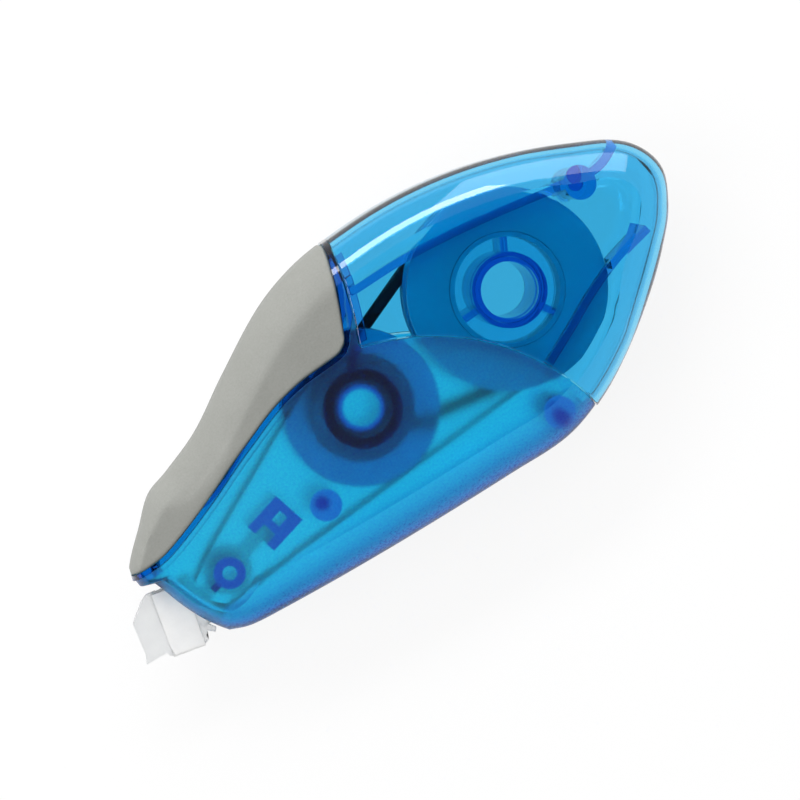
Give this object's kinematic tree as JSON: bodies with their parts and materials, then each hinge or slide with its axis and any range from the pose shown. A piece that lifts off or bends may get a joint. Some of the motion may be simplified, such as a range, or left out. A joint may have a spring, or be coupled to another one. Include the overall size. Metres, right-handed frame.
{
  "type": "correction tape roller",
  "caption": "Hand-held correction tape roller: teardrop casing of frosted and clear blue plastic, rubber grip, sideways nib, and belt-driven spools inside.",
  "frame": {"origin": "centre of the outline on the surface that the roller lies on, under its far broad face", "axes": "+X toward the tail, +Y toward the rubber grip and the back, +Z out of the near broad face; the spools turn about Z"},
  "size_m": [0.086, 0.0384, 0.016],
  "materials": {
    "frosted_blue": "satin",
    "clear_blue": "gloss",
    "grip_rubber": "satin",
    "nib_plastic": "satin",
    "belt_rubber": "matte",
    "spool_blue": "gloss",
    "new_tape": "matte",
    "used_carrier": "satin"
  },
  "bodies": {
    "casing": {"front_shell_near": "frosted_blue", "front_shell_far": "frosted_blue", "rear_cover_near": "clear_blue", "rear_cover_far": "clear_blue", "soft_grip": "grip_rubber", "nib": "nib_plastic", "drive_belt": "belt_rubber", "tape_feed": "new_tape", "tape_blade": "new_tape", "tape_return": "used_carrier"},
    "supply_spool": {"supply_core": "spool_blue", "supply_flange": "spool_blue", "supply_pulley": "spool_blue", "supply_tape": "new_tape"},
    "take_up_spool": {"take_up_core": "spool_blue", "take_up_flange": "spool_blue", "take_up_pulley": "spool_blue", "take_up_tape": "used_carrier"}
  },
  "joints": [
    {"name": "supply_spin", "type": "hinge", "parent": "casing", "child": "supply_spool", "pos_m": [0.01853, 0.00236, 0.008], "axis": [0, 0, 1], "continuous": true},
    {"name": "take_up_spin", "type": "hinge", "parent": "casing", "child": "take_up_spool", "pos_m": [-0.00442, -0.00168, 0.008], "axis": [0, 0, 1], "continuous": true}
  ],
  "couplings": [
    {"joint": "take_up_spin", "follows": "supply_spin", "ratio": 2.3061}
  ]
}
